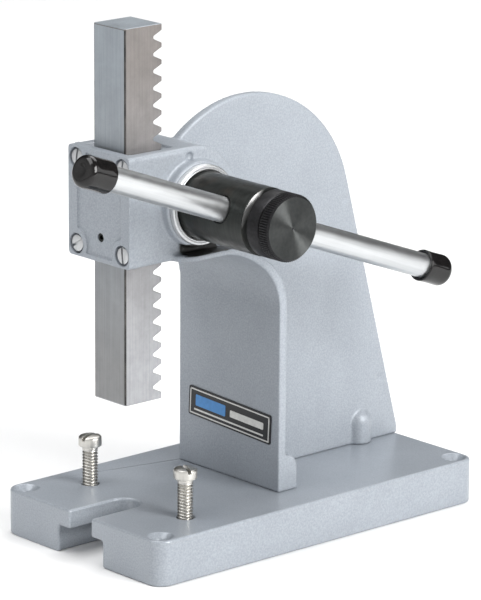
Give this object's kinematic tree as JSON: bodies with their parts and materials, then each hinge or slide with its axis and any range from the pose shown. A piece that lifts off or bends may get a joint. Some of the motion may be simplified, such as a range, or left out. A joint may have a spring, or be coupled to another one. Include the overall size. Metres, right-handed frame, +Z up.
{
  "type": "arbor press",
  "caption": "Bench arbor press: a square rack ram driven by a pinion and a sliding lever, in an aluminium frame on a slotted base.",
  "frame": {"origin": "centre of the four bolt-down holes, on the underside of the base", "axes": "+Z up along the ram's travel; +Y from the ram to the back of the base; +X to the right of the operator, along the pinion towards the lever and knob"},
  "size_m": [0.1225, 0.2117, 0.2117],
  "materials": {
    "casting": "silver-grey satin paint with a fine cast grain",
    "ground_steel": "ground square bar with milled teeth",
    "black_steel": "black oxide, satin",
    "lever_steel": "bright nickel plate, fine drawn lines",
    "nickel": "nickel plate",
    "black_cap": "glossy dipped vinyl",
    "knob_black": "black anodised, turned face",
    "bush": "machined",
    "bronze": "machined bearing bronze",
    "label": "printed foil plate with no lettering"
  },
  "bodies": {
    "frame": {"base_plate": "casting", "frame_casting": "casting", "head_cover": "casting", "cover_screws": "nickel", "gib_plate": "bronze", "gib_set_screw": "black_steel", "frame_screws": "black_steel", "frame_washers": "nickel", "label_plate": "label", "pinion_bush_right": "bush", "pinion_bush_left": "bronze"},
    "pinion": {"pinion_shaft": "black_steel", "pinion_end_washer": "nickel", "pinion_end_screw": "nickel", "lock_washer": "nickel"},
    "ram": {"ram": "ground_steel"},
    "lever": {"lever_rod": "lever_steel", "lever_cap_front": "black_cap", "lever_cap_rear": "black_cap"},
    "lock": {"lock_knob": "knob_black", "lock_stud": "nickel"},
    "screw_left": {"fixture_screw_left": "nickel"},
    "screw_right": {"fixture_screw_right": "nickel"}
  },
  "joints": [
    {"name": "pinion_spin", "type": "hinge", "parent": "frame", "child": "pinion", "pos_m": [0, -0.043, 0.1414], "axis": [1, 0, 0], "range_deg": [-300, 228]},
    {"name": "ram_slide", "type": "slide", "parent": "frame", "child": "ram", "axis": [0, 0, 1], "range_m": [-0.0425, 0.0556]},
    {"name": "lever_slide", "type": "slide", "parent": "pinion", "child": "lever", "axis": [0, -0.9373, 0.3486], "range_m": [-0.056, 0.084]},
    {"name": "lock_knob_turn", "type": "hinge", "parent": "pinion", "child": "lock", "pos_m": [0.066, -0.043, 0.1414], "axis": [1, 0, 0], "range_deg": [0, 180]},
    {"name": "fixture_screw_left_lift", "type": "slide", "parent": "frame", "child": "screw_left", "axis": [0, 0, 1], "range_m": [-0.009, 0.005]},
    {"name": "fixture_screw_right_lift", "type": "slide", "parent": "frame", "child": "screw_right", "axis": [0, 0, 1], "range_m": [-0.009, 0.005]}
  ],
  "couplings": [
    {"joint": "ram_slide", "follows": "pinion_spin", "m_per_rad": -0.010583}
  ]
}
